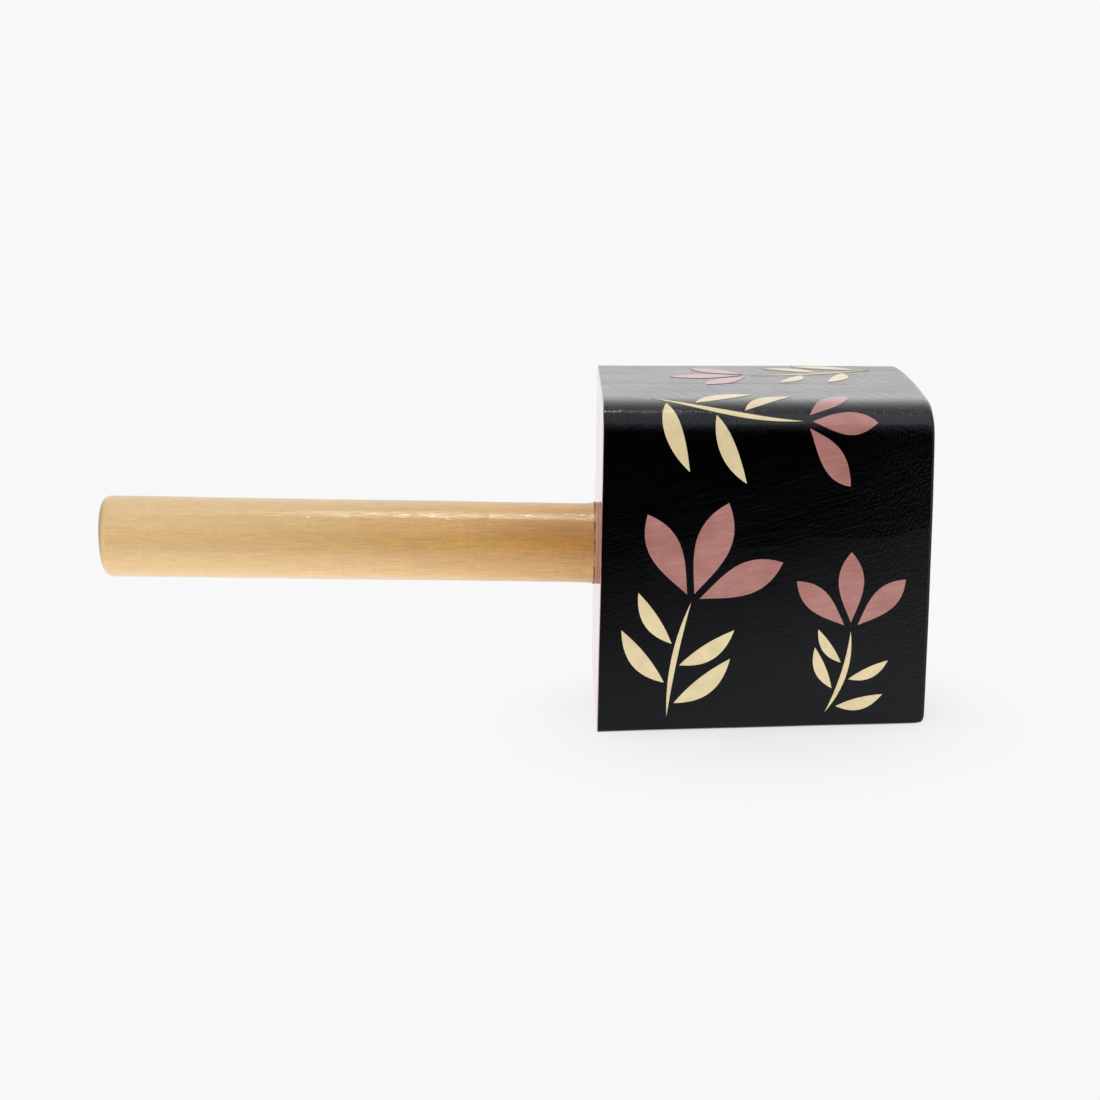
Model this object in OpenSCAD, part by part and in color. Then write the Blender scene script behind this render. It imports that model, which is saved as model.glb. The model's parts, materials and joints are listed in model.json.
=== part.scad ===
// Hand rattle: a hollow head carved as two halves, pegged and glued round the tenon of a
// straight handle, with loose pebbles in its chamber. It lies on the flat side of its head.
// Millimetres. The origin is the middle of that flat side, +Z is up, the handle points to -X
// and the seam between the two halves is the plane Y = 0.

/* [Head] */
// Length of the head along its underside
head_length = 87; // [72:1:110]
// Depth of the head from front to back, over both halves
head_depth = 74; // [62:1:100]
// Height of the head at its handle side
head_height = 88; // [76:1:110]
// Angle by which the upper side falls towards the far end
top_fall = 1.7; // [0:0.1:4]
// Thickness of the front, back, far, lower and upper walls
wall = 8; // [6:0.5:11]
// Rounding of the upper edges and of the edges of the far end
edge_round = 4; // [2:0.5:7]
// Bevel along the edges of the underside
base_bevel = 1.5; // [0.5:0.25:3]
// Bevel that eases the edges of the handle side
arris_bevel = 0.8; // [0.4:0.1:1.5]
// Rounding of the gouged corners of the chamber
chamber_round = 6; // [4:0.5:9]

/* [Handle] */
// Diameter of the handle
handle_d = 22; // [19:0.5:27]
// Length of the handle outside the head
handle_length = 136.5; // [100:0.5:180]
// Height of the handle's axis where it meets the head
handle_height = 43.5; // [38:0.5:50]
// Angle by which the handle rises towards its free end, which is also the lean of both ends of the head
handle_rise = 2.4; // [0:0.1:4]
// Rounding of the rim of the free end
end_round = 3.5; // [1:0.25:4]
// Height of the dome on the free end
end_crown = 0.8; // [0.4:0.1:1.5]
// Diameter of the tenon
tenon_d = 16; // [12:0.5:18]
// Length of the tenon inside the head
tenon_length = 14; // [10:0.5:18]
// Wood left between the tenon's socket and the chamber
neck_web = 6; // [4:0.5:10]

/* [Pegs] */
// Diameter of the dowels across the seam
seam_peg_d = 4; // [3:0.25:5]
// Length of the dowels across the seam
seam_peg_length = 18; // [12:1:26]
// Diameter of the cross peg in the tenon
tenon_peg_d = 5; // [3:0.25:6]
// Depth that the cross peg reaches into each half beyond the tenon
tenon_peg_bite = 7; // [4:0.5:10]
// Chamfer on the ends of the pegs
peg_chamfer = 0.5; // [0.2:0.1:1]

/* [Pebbles] */
// Diameter of the largest pebbles
pebble_d = 7; // [5:0.25:8]
// Height of the largest pebbles
pebble_h = 5; // [4:0.25:5]
// Size of the smallest pebbles as a share of the largest
pebble_spread = 0.7; // [0.5:0.05:1]
// Space between the outermost pebbles and the front and back of the chamber
pebble_margin = 6; // [2:0.5:8]

/* [Clearances] */
// Glue line round the tenon and the pegs
glue_gap = 0.05; // [0.02:0.01:0.1]
// Spare depth at the bottom of each blind hole
hole_spare = 0.5; // [0.2:0.1:1]
// Space under a resting pebble
pebble_gap = 0.3; // [0.1:0.05:0.5]

/* [Hidden] */
$fn = 96;
pebble_columns = 3;
pebble_rows = 4;
// Stride through the pebbles' sizes, so that large and small ones lie mixed
size_stride = 5;
PEBBLES = ["pebble_1", "pebble_2", "pebble_3", "pebble_4", "pebble_5", "pebble_6",
    "pebble_7", "pebble_8", "pebble_9", "pebble_10", "pebble_11", "pebble_12"];

// A length past every face of the head, for cutters
reach = 2 * (head_length + head_depth + head_height);
neck_wall = tenon_length + hole_spare + neck_web;

// The sides of the head seen from the front, as distances of straight lines from the origin
neck_line = -head_length / 2 * cos(handle_rise);
far_line = head_length / 2 * cos(handle_rise);
top_corner_x = -head_length / 2 + head_height * tan(handle_rise);
top_line = head_height * cos(top_fall) + top_corner_x * sin(top_fall);

// Points where an end line meets a level, and where it meets the sloping top line
function at_level(end, level) = [(end + level * sin(handle_rise)) / cos(handle_rise), level];
function at_top(end, top) = [
    end * cos(top_fall) + top * sin(handle_rise),
    top * cos(handle_rise) - end * sin(top_fall)
] / cos(handle_rise - top_fall);

// Corners of the head's outline, moved in from the handle side and from the other sides
function block_corners(neck_inset, inset) = [
    at_level(neck_line + neck_inset, inset),
    at_level(far_line - inset, inset),
    at_top(far_line - inset, top_line - inset),
    at_top(neck_line + neck_inset, top_line - inset)
];

// Geometry of corner i of an outline. A finish is [radius, 0] for a round corner, [0, run] for a
// bevelled one and [0, 0] for a sharp one.
sharp = [0, 0];
function unit(v) = v / norm(v);
function side_before(points, i) = unit(points[(i + len(points) - 1) % len(points)] - points[i]);
function side_after(points, i) = unit(points[(i + 1) % len(points)] - points[i]);
function half_angle(points, i) = acos(side_before(points, i) * side_after(points, i)) / 2;
function corner_run(points, i, finish) = finish[0] / tan(half_angle(points, i)) + finish[1];
function corner_points(points, i, finish) = finish == sharp ? [points[i]] : [
    points[i] + corner_run(points, i, finish) * side_before(points, i),
    points[i] + corner_run(points, i, finish) * side_after(points, i)
];
function arc_centre(points, i, radius) = points[i]
    + radius / sin(half_angle(points, i)) * unit(side_before(points, i) + side_after(points, i));

// The chamber and the pebbles' clear floor in it
chamber_corners = block_corners(neck_wall, wall);
chamber_half = head_depth / 2 - wall;
floor_x0 = chamber_corners[3].x + chamber_round + pebble_d / 2;
floor_x1 = chamber_corners[1].x - chamber_round - pebble_d / 2;
floor_y1 = chamber_half - pebble_margin - pebble_d / 2;

// The dowels stand midway between the rounded corners of the head and of the chamber
corner_cut = 1 - cos(45);
seam_peg_inset = (wall + (chamber_round + edge_round) * corner_cut) / 2;
seam_peg_places = block_corners(neck_wall / 2, seam_peg_inset);
tenon_peg_length = tenon_d + 2 * tenon_peg_bite;

// A straight-sided outline with its own finish at each corner
module finished_outline(points, finishes) {
    polygon([for (i = [0 : len(points) - 1]) each corner_points(points, i, finishes[i])]);
    for (i = [0 : len(points) - 1])
        if (finishes[i][0] > 0)
            translate(arc_centre(points, i, finishes[i][0]))
                circle(finishes[i][0]);
}

// The head before it is split and hollowed: the outline seen from the front, cut to the outlines
// that finish the edges along the underside, along the sloping upper side and up the leaning ends
module head_block() {
    corners = block_corners(0, 0);
    half = head_depth / 2;
    round_edge = [edge_round, 0];
    base_edge = [0, base_bevel];
    neck_edge = [0, arris_bevel];
    intersection() {
        rotate([90, 0, 0])
            linear_extrude(head_depth, center = true)
                finished_outline(corners, [neck_edge, base_edge, round_edge, neck_edge]);
        rotate([90, 0, 90])
            linear_extrude(reach, center = true)
                finished_outline([[-half, 0], [half, 0], [half, reach], [-half, reach]],
                    [base_edge, base_edge, sharp, sharp]);
        translate([corners[3].x, 0, corners[3].y])
            rotate([0, top_fall, 0])
                rotate([90, 0, 90])
                    linear_extrude(reach, center = true)
                        finished_outline([[-half, -reach], [half, -reach], [half, 0], [-half, 0]],
                            [sharp, sharp, round_edge, round_edge]);
        rotate([0, handle_rise, 0])
            linear_extrude(reach, center = true)
                finished_outline([[neck_line, -half], [far_line, -half], [far_line, half], [neck_line, half]],
                    [neck_edge, round_edge, round_edge, neck_edge]);
    }
}

// The gouged hollow of both halves
module chamber() {
    gouged = [chamber_round, 0];
    rotate([90, 0, 0])
        linear_extrude(2 * chamber_half, center = true)
            finished_outline(chamber_corners, [gouged, gouged, gouged, gouged]);
}

// The blind hole for the tenon, open towards the handle
module tenon_socket() {
    on_handle_axis()
        translate([0, 0, -tenon_length - hole_spare])
            linear_extrude(2 * tenon_length)
                circle(d = tenon_d + 2 * glue_gap);
}

// Places its children on the handle's axis, with the handle's shoulder at the origin and +Z to its free end
module on_handle_axis() {
    shoulder = at_level(neck_line, handle_height);
    translate([shoulder.x, 0, shoulder.y])
        rotate([0, handle_rise - 90, 0])
            children();
}

// A round wooden peg along Y, centred on the seam, with chamfered ends
module peg(d, length) {
    r = d / 2;
    rotate([90, 0, 0])
        translate([0, 0, -length / 2])
            rotate_extrude()
                polygon([[0, 0], [r - peg_chamfer, 0], [r, peg_chamfer], [r, length - peg_chamfer],
                    [r - peg_chamfer, length], [0, length]]);
}

// A blind hole for a peg, with its glue line and its spare depth
module peg_hole(d, length) {
    rotate([90, 0, 0])
        cylinder(d = d + 2 * glue_gap, h = length + 2 * hole_spare, center = true);
}

// Places its children where the cross peg passes through the tenon
module at_tenon_peg() {
    on_handle_axis()
        translate([0, 0, -tenon_length / 2])
            children();
}

// Places its children at each dowel of the seam
module at_seam_pegs() {
    for (place = seam_peg_places)
        translate([place.x, 0, place.y])
            children();
}

// One half of the head, on the front side (-1) or the back side (1) of the seam
module half_shell(side) {
    difference() {
        intersection() {
            head_block();
            translate([0, side * reach / 2, 0])
                cube(reach, center = true);
        }
        chamber();
        tenon_socket();
        at_tenon_peg()
            peg_hole(tenon_peg_d, tenon_peg_length);
        at_seam_pegs()
            peg_hole(seam_peg_d, seam_peg_length);
    }
}

module front_shell() {
    color("#17161a")
        half_shell(-1);
}

module back_shell() {
    color("#17161a")
        half_shell(1);
}

// The turned outline of the handle and its tenon, from the axis outwards, with a domed free end
module handle_outline() {
    r = handle_d / 2;
    crown_r = (r * r + end_crown * end_crown) / (2 * end_crown);
    intersection() {
        finished_outline([[0, -tenon_length], [tenon_d / 2, -tenon_length], [tenon_d / 2, 0], [r, 0],
            [r, handle_length], [0, handle_length]], [sharp, sharp, sharp, sharp, [end_round, 0], sharp]);
        union() {
            translate([0, -tenon_length])
                square([r, tenon_length + handle_length - end_round]);
            translate([0, handle_length - crown_r])
                circle(crown_r);
        }
    }
}

module handle() {
    color("#d8b57e")
        difference() {
            on_handle_axis()
                rotate_extrude()
                    handle_outline();
            at_tenon_peg()
                peg_hole(tenon_peg_d, tenon_peg_length);
        }
}

module tenon_peg() {
    color("#c79f63")
        at_tenon_peg()
            peg(tenon_peg_d, tenon_peg_length);
}

module seam_pegs() {
    color("#c79f63")
        at_seam_pegs()
            peg(seam_peg_d, seam_peg_length);
}

// A smooth stone with a round rim, lying on the floor of the chamber at its own place
module pebble(i) {
    column = i % pebble_columns;
    row = floor(i / pebble_columns);
    count = len(PEBBLES);
    size = pebble_spread + (1 - pebble_spread) * ((i * size_stride) % count) / (count - 1);
    r = size * pebble_d / 2;
    h = size * pebble_h;
    x = floor_x0 + (floor_x1 - floor_x0) * column / (pebble_columns - 1);
    y = floor_y1 * (2 * row / (pebble_rows - 1) - 1);
    color("#8d8a83")
        translate([x, y, wall + pebble_gap])
            rotate_extrude()
                intersection() {
                    square([r, h]);
                    union() {
                        square([r - h / 2, h]);
                        translate([r - h / 2, h / 2])
                            circle(h / 2);
                    }
                }
}

front_shell();
back_shell();
handle();
tenon_peg();
seam_pegs();
for (i = [0 : len(PEBBLES) - 1])
    pebble(i);
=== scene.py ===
"""Looks of a painted hand rattle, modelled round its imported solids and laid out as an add-on."""

import json
import math
from functools import partial

import bmesh
import bpy
from bpy.props import FloatProperty, FloatVectorProperty, PointerProperty
from bpy.types import Operator, Panel, PropertyGroup
from mathutils import Matrix, Vector


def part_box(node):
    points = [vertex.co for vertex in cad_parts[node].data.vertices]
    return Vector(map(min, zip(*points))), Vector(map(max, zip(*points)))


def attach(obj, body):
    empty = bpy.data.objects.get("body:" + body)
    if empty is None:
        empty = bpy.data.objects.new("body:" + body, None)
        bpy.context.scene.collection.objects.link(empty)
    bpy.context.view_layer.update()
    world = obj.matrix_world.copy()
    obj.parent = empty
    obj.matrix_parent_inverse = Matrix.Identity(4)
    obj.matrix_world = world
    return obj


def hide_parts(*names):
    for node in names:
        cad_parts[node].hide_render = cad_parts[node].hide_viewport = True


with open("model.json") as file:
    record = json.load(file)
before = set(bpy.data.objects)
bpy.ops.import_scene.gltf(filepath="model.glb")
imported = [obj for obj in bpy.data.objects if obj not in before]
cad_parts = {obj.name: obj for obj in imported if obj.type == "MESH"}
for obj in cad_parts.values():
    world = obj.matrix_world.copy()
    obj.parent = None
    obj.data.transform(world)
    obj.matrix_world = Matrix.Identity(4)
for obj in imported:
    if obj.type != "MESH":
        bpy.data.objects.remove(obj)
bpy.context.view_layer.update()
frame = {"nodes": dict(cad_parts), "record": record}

bl_info = {
    "name": "Painted hand rattle",
    "version": (1, 0, 0),
    "blender": (4, 5, 0),
    "location": "3D View > Sidebar > Rattle",
    "description": "Models the head, handle, pebbles and painted sprigs of a wooden hand rattle",
    "category": "Object",
}

MM = 0.001
GLUE_GAP = 0.05 * MM
SAME_PLACE = 0.05 * MM
MERGE_DISTANCE = 1e-6
SMOOTH_ANGLE = math.radians(32)
BODY = "rattle"
PEBBLES = [f"pebble_{number}" for number in range(1, 13)]
PEGS = ("tenon_peg", "seam_pegs")
GRIP = next(mount for mount in frame["record"]["mounts"] if mount["name"] == "grip")
HANDLE_AXIS = Vector(GRIP["axis"]).normalized()
HANDLE_RISE = math.atan2(HANDLE_AXIS.z, -HANDLE_AXIS.x)
TO_FAR_END = -HANDLE_AXIS
TO_BACK = Vector((0, 1, 0))
UP = Vector((0, 0, 1))


def linear(hex_colour):
    """Linear RGB of an sRGB hex colour."""
    channels = [int(hex_colour[i:i + 2], 16) / 255 for i in (0, 2, 4)]
    return tuple(c / 12.92 if c <= 0.04045 else ((c + 0.055) / 1.055) ** 2.4 for c in channels)


def span(name, description, value):
    """A size in metres that a user may change, given in millimetres."""
    return FloatProperty(name=name, description=description, default=value * MM, unit="LENGTH", precision=5)


def angle(name, description, value):
    """An angle that a user may change, given in degrees."""
    return FloatProperty(name=name, description=description, default=math.radians(value), unit="ROTATION")


def tint(name, description, value):
    """A colour that a user may change, given as sRGB hex."""
    return FloatVectorProperty(
        name=name, description=description, default=linear(value), subtype="COLOR", min=0, max=1)


class HeadSizes(PropertyGroup):
    """Sizes of the hollow head."""
    length: span("Length", "Along the underside", 87)
    depth: span("Depth", "From front to back, over both halves", 74)
    height: span("Height", "At the handle side", 88)
    top_fall: angle("Top fall", "Angle by which the upper side falls towards the far end", 1.7)
    wall: span("Wall", "Thickness of the walls round the chamber", 8)
    neck_wall: span("Neck wall", "Thickness of the wall that holds the tenon", 20.5)
    chamber_round: span("Chamber round", "Rounding of the gouged corners of the chamber", 6)
    front_edge: span("Front edge", "Reach of the soft front edge across the top", 16)
    back_edge: span("Back edge", "Reach of the eased back edge across the top", 4.5)
    top_edge: span("Top edge", "Reach of the soft upper edges down the front and back", 17)
    far_edge: span("Far edge", "Reach of the eased edges of the far end", 4)
    far_bow: span("Far bow", "Swell of the far end between its upright edges", 0.8)
    far_taper: span("Far taper", "Wood taken off the upper front corner of the far end", 0.9)
    far_ease: span("Far ease", "Wood taken off the upper back corner of the far end", 2.4)
    base_edge: span("Base edge", "Reach of the eased edges of the underside", 3.2)
    neck_edge: span("Neck edge", "Reach of the crisp edges of the handle side", 1.2)
    crown: span("Crown", "Swell of the front and back faces at their middle", 0.35)
    carving: span("Carving", "Depth of the unevenness that hand carving leaves", 0.3)
    seam: span("Seam", "Easing of the edges where the halves meet", 0.05)


class HandleSizes(PropertyGroup):
    """Sizes of the handle."""
    diameter: span("Diameter", "Middle of the handle", 22)
    length: span("Length", "Outside the head", 136.5)
    swell: span("Swell", "Gain in radius from the head to the free end", 0.2)
    flare: span("Flare", "Gain in radius where the handle meets the head", 0.4)
    flare_length: span("Flare length", "Reach of the flare along the handle", 5)
    end_round: span("End round", "Rounding of the rim of the free end", 2.6)
    end_crown: span("End crown", "Height of the dome on the free end", 0.8)
    end_slant: angle("End slant", "Angle by which the free end was cut out of square", 3)
    tenon_diameter: span("Tenon", "Diameter of the tenon", 16)
    tenon_length: span("Tenon length", "Reach of the tenon into the head", 14)
    bead: span("Glue bead", "Radius of the line of glue round the handle", 0.17)
    squeeze: span("Squeeze", "Distance of that line from the head", 0.95)


class Finishes(PropertyGroup):
    """Colours and thicknesses of paint, wood and stone."""
    black: tint("Black", "Paint of the head", "030304")
    pink: tint("Pink", "Paint of the petals and of the handle side", "B8807A")
    maroon: tint("Maroon", "Undercoat that shows where black meets pink", "5A2A2A")
    cream: tint("Cream", "Paint of the leaves and stems", "EDDAAC")
    cedar_pale: tint("Pale cedar", "Handle at its free end", "ECC68C")
    cedar_deep: tint("Deep cedar", "Handle near the head", "D09E54")
    cedar_end: tint("End grain", "Rim of the handle's free end", "9C8654")
    raw: tint("Raw cedar", "Wood inside the head", "D8B88A")
    peg: tint("Peg", "Dowels and cross peg", "B98E58")
    glue: tint("Glue", "Bead round the handle", "8C5C50")
    stone: tint("Stone", "Pebbles", "8B867C")
    film: span("Paint film", "Height of the sprigs above the black", 0.1)


class StageSettings(PropertyGroup):
    """Camera, floor and light."""
    lens: FloatProperty(name="Lens", description="Focal length", default=84.04, unit="CAMERA")
    place: FloatVectorProperty(
        name="Camera", description="Place of the camera", unit="LENGTH",
        default=(-0.05371, -0.69337, 0.19652))
    pitch: angle("Pitch", "Angle by which the camera looks down", 12.577)
    yaw: angle("Yaw", "Angle by which the camera turns left", 0.089)
    roll: angle("Roll", "Angle by which the camera leans to its right", 1.541)
    white: FloatProperty(
        name="White", description="Level of the background", default=0.94, subtype="FACTOR")
    tent: FloatProperty(
        name="Tent", description="Level of the soft light all round", default=0.48, subtype="FACTOR")


def head():
    """The head's sizes."""
    return bpy.context.scene.rattle_head


def stick():
    """The handle's sizes."""
    return bpy.context.scene.rattle_handle


def finishes():
    """The colours and thicknesses of the finishes."""
    return bpy.context.scene.rattle_finishes


# Selection, edit mode and whole pieces


def deselect():
    """Clears the selection, because an operator acts on all that is selected."""
    bpy.ops.object.select_all(action="DESELECT")


def pick_only(piece):
    """Makes a piece the only selected object and the active one."""
    deselect()
    piece.select_set(True)
    bpy.context.view_layer.objects.active = piece


def edit(piece):
    """Opens a piece in edit mode."""
    pick_only(piece)
    bpy.ops.object.mode_set(mode="EDIT")


def close_edit():
    """Goes back to object mode."""
    bpy.ops.object.mode_set(mode="OBJECT")


def pick(kind, test):
    """Selects the vertices, edges or faces of the piece being edited that pass a test."""
    bpy.ops.mesh.select_mode(type={"verts": "VERT", "edges": "EDGE", "faces": "FACE"}[kind])
    bpy.ops.mesh.select_all(action="DESELECT")
    mesh = bpy.context.edit_object.data
    parts = bmesh.from_edit_mesh(mesh)
    for part in getattr(parts, kind):
        if test(part):
            part.select_set(True)
    parts.select_flush_mode()
    bmesh.update_edit_mesh(mesh)


def pick_all():
    """Selects the whole of the piece being edited."""
    bpy.ops.mesh.select_all(action="SELECT")


def move_verts(shift):
    """Moves each vertex of the piece being edited by what a function gives for its place."""
    mesh = bpy.context.edit_object.data
    parts = bmesh.from_edit_mesh(mesh)
    for vert in parts.verts:
        vert.co += shift(vert.co)
    bmesh.update_edit_mesh(mesh)


def new_piece(name):
    """Names the object that an operator has just added."""
    piece = bpy.context.active_object
    piece.name = name
    piece.data.name = name
    return piece


def start_piece(name, kind, **settings):
    """Adds a primitive at its size and place, and leaves that place in its mesh."""
    deselect()
    getattr(bpy.ops.mesh, f"primitive_{kind}_add")(**settings)
    piece = new_piece(name)
    bpy.ops.object.transform_apply()
    return piece


def copy_of(piece, name):
    """A copy of a piece with its own mesh."""
    pick_only(piece)
    bpy.ops.object.duplicate()
    return new_piece(name)


def modify(piece, kind, **settings):
    """Adds a modifier with its settings and applies it."""
    pick_only(piece)
    bpy.ops.object.modifier_add(type=kind)
    modifier = piece.modifiers[-1]
    for key, value in settings.items():
        setattr(modifier, key, value)
    bpy.ops.object.modifier_apply(modifier=modifier.name)


def boolean(piece, cutter, operation):
    """Cuts a piece with a closed cutter, whose materials come along."""
    modify(piece, "BOOLEAN", object=cutter, operation=operation, solver="EXACT", use_self=False,
           material_mode="TRANSFER")


def remove(piece):
    """Deletes a piece that was only a help."""
    pick_only(piece)
    bpy.ops.object.delete()


def settle(piece, place):
    """Moves a piece to its place and leaves that place in its mesh."""
    piece.matrix_world = place
    pick_only(piece)
    bpy.ops.object.transform_apply()


def uneven(piece, name, size, depth):
    """Makes a surface uneven by a soft noise with features of a given size."""
    clouds = bpy.data.textures.new(name, "CLOUDS")
    clouds.noise_scale = size
    clouds.noise_depth = 2
    modify(piece, "DISPLACE", texture=clouds, texture_coords="LOCAL", strength=depth, mid_level=0.5)


def coat(piece, *materials):
    """Gives a piece its materials by name, in order."""
    piece.data.materials.clear()
    for name in materials:
        piece.data.materials.append(bpy.data.materials[name])


def paint_faces(piece, slot, test):
    """Gives one of a piece's materials to the faces that pass a test."""
    edit(piece)
    pick("faces", test)
    piece.active_material_index = slot
    bpy.ops.object.material_slot_assign()
    close_edit()


def finish_piece(piece, slot, *nodes, body=BODY):
    """Shades a piece, ties it to its body and hides the nodes that it stands for. Its slot is not used."""
    pick_only(piece)
    bpy.ops.object.shade_smooth_by_angle(angle=SMOOTH_ANGLE)
    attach(piece, body)
    if nodes:
        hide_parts(*nodes)


# Materials


BRUSHED_ACRYLIC = {"IOR": 1.42, "Coat Weight": 0.6, "Coat Roughness": 0.1, "Coat IOR": 1.4}


def add_node(tree, kind, inputs=(), **settings):
    """Adds a node with its settings and gives its inputs values or links. The inputs come by name, or as a
    list in the node's own order, which for Map Range is the value, then its old and its new range."""
    made = tree.nodes.new("ShaderNode" + kind)
    for key, value in settings.items():
        setattr(made, key, value)
    by_name = isinstance(inputs, dict)
    sockets = made.inputs if by_name else [socket for socket in made.inputs if socket.enabled]
    for key, value in inputs.items() if by_name else enumerate(inputs):
        if isinstance(value, bpy.types.Node):
            value = next(output for output in value.outputs if output.enabled)
        if isinstance(value, bpy.types.NodeSocket):
            tree.links.new(value, sockets[key])
        else:
            sockets[key].default_value = value
    return made


def new_material(name):
    """An empty material: the function that adds its nodes, and the object's own coordinates."""
    made = bpy.data.materials.new(name)
    made.use_nodes = True
    made.node_tree.nodes.clear()
    add = partial(add_node, made.node_tree)
    return add, add("TexCoord").outputs["Object"]


def per_mm(*sizes):
    """Scale of a pattern whose features are as long, wide and deep as given, in millimetres."""
    return tuple(1 / (size * MM) for size in sizes)


def in_mm(*sizes):
    """Metres of sizes given in millimetres."""
    return tuple(size * MM for size in sizes)


def in_radians(*degrees):
    """Radians of angles given in degrees."""
    return tuple(math.radians(each) for each in degrees)


def shade(rgb, factor):
    """A colour made lighter or darker, with its alpha."""
    return tuple(min(1.0, c * factor) for c in rgb) + (1.0,)


def black_paint():
    """Black acrylic brushed on cedar under satin varnish: a deep black that shows white at a low angle,
    with the wood's ridges in it on the top, brush strokes on the sides and a tooth at the far end."""
    add, place = new_material("black_acrylic_brushed_satin_varnish")
    black = finishes().black
    apart = add("SeparateXYZ", [place])
    patch_place = add("Mapping", {"Vector": place, "Scale": per_mm(18, 9, 9)})
    patches = add("TexNoise", {"Vector": patch_place, "Scale": 1.0})
    colour = add("Mix", [patches, shade(black, 0.7), shade(black, 1.5)], data_type="RGBA")
    gloss = add("MapRange", [patches, 0.3, 0.7, 0.11, 0.2])
    swell = add("TexNoise", {"Vector": place, "Scale": 1 / (16 * MM)})
    level = add("Bump", {"Height": swell, "Distance": 0.1 * MM})
    grain_place = add("Mapping", vector_type="TEXTURE", inputs={
        "Vector": place, "Rotation": in_radians(0, 0, -68), "Scale": in_mm(24, 2, 2)})
    grain = add("TexNoise", {"Vector": grain_place, "Scale": 1.0, "Detail": 2.0, "Distortion": 0.4})
    upper = add("MapRange", [apart.outputs["Z"], 78 * MM, 87 * MM, 0.1, 1.0])
    ridges = add("Math", [grain, upper], operation="MULTIPLY")
    level = add("Bump", {"Height": ridges, "Distance": 0.22 * MM, "Normal": level})
    stroke_place = add("Mapping", vector_type="TEXTURE", inputs={
        "Vector": place, "Rotation": in_radians(0, -14, 0), "Scale": in_mm(18, 1.3, 1.3)})
    strokes = add("TexNoise", {"Vector": stroke_place, "Scale": 1.0, "Detail": 3.0, "Distortion": 1.6})
    level = add("Bump", {"Height": strokes, "Distance": 0.08 * MM, "Normal": level})
    # The tooth of real brushed paint is finer. It is drawn this coarse so that it shows in the render.
    tooth_place = add("Mapping", {"Vector": place, "Scale": per_mm(0.55, 1.0, 1.0)})
    tooth = add("TexNoise", {"Vector": tooth_place, "Scale": 1.0, "Detail": 2.0})
    outer = add("MapRange", [apart.outputs["X"], 15 * MM, 43 * MM, 0.35, 1.0])
    canvas = add("Math", [tooth, outer], operation="MULTIPLY")
    level = add("Bump", {"Height": canvas, "Distance": 0.22 * MM, "Normal": level})
    shader = add("BsdfPrincipled", {
        "Base Color": colour, "Roughness": gloss, "IOR": 1.34, "Specular Tint": (0.6, 0.64, 0.76, 1.0),
        "Coat Weight": 0.45, "Coat Roughness": 0.03, "Coat IOR": 1.4, "Normal": level})
    add("OutputMaterial", [shader])


def pink_paint():
    """Dusty pink acrylic in two brushed coats: streaks, thin reddish patches, a fine tooth, little gloss."""
    add, place = new_material("pink_acrylic_brushed")
    pink = finishes().pink
    streak_place = add("Mapping", vector_type="TEXTURE", inputs={
        "Vector": place, "Rotation": in_radians(0, -10, 0), "Scale": in_mm(8, 0.9, 0.9)})
    streaks = add("TexNoise", {"Vector": streak_place, "Scale": 1.0, "Detail": 3.0, "Distortion": 1.5})
    patches = add("TexNoise", {"Vector": place, "Scale": 1 / (7 * MM), "Detail": 3.0})
    brushed = add("Mix", [streaks, shade(pink, 0.84), shade(pink, 1.26)], data_type="RGBA")
    thin = add("MapRange", [patches, 0.42, 0.68, 0.0, 0.6])
    reddish = (0.78 * pink[0], 0.66 * pink[1], 0.62 * pink[2], 1.0)
    colour = add("Mix", [thin, brushed, reddish], data_type="RGBA")
    gloss = add("MapRange", [streaks, 0.3, 0.7, 0.2, 0.32])
    level = add("Bump", {"Height": streaks, "Distance": 0.01 * MM})
    tooth = add("TexNoise", {"Vector": place, "Scale": 1 / (0.45 * MM)})
    level = add("Bump", {"Height": tooth, "Distance": 0.008 * MM, "Normal": level})
    shader = add("BsdfPrincipled", {
        "Base Color": colour, "Roughness": gloss, "Normal": level, **BRUSHED_ACRYLIC})
    add("OutputMaterial", [shader])


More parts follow.
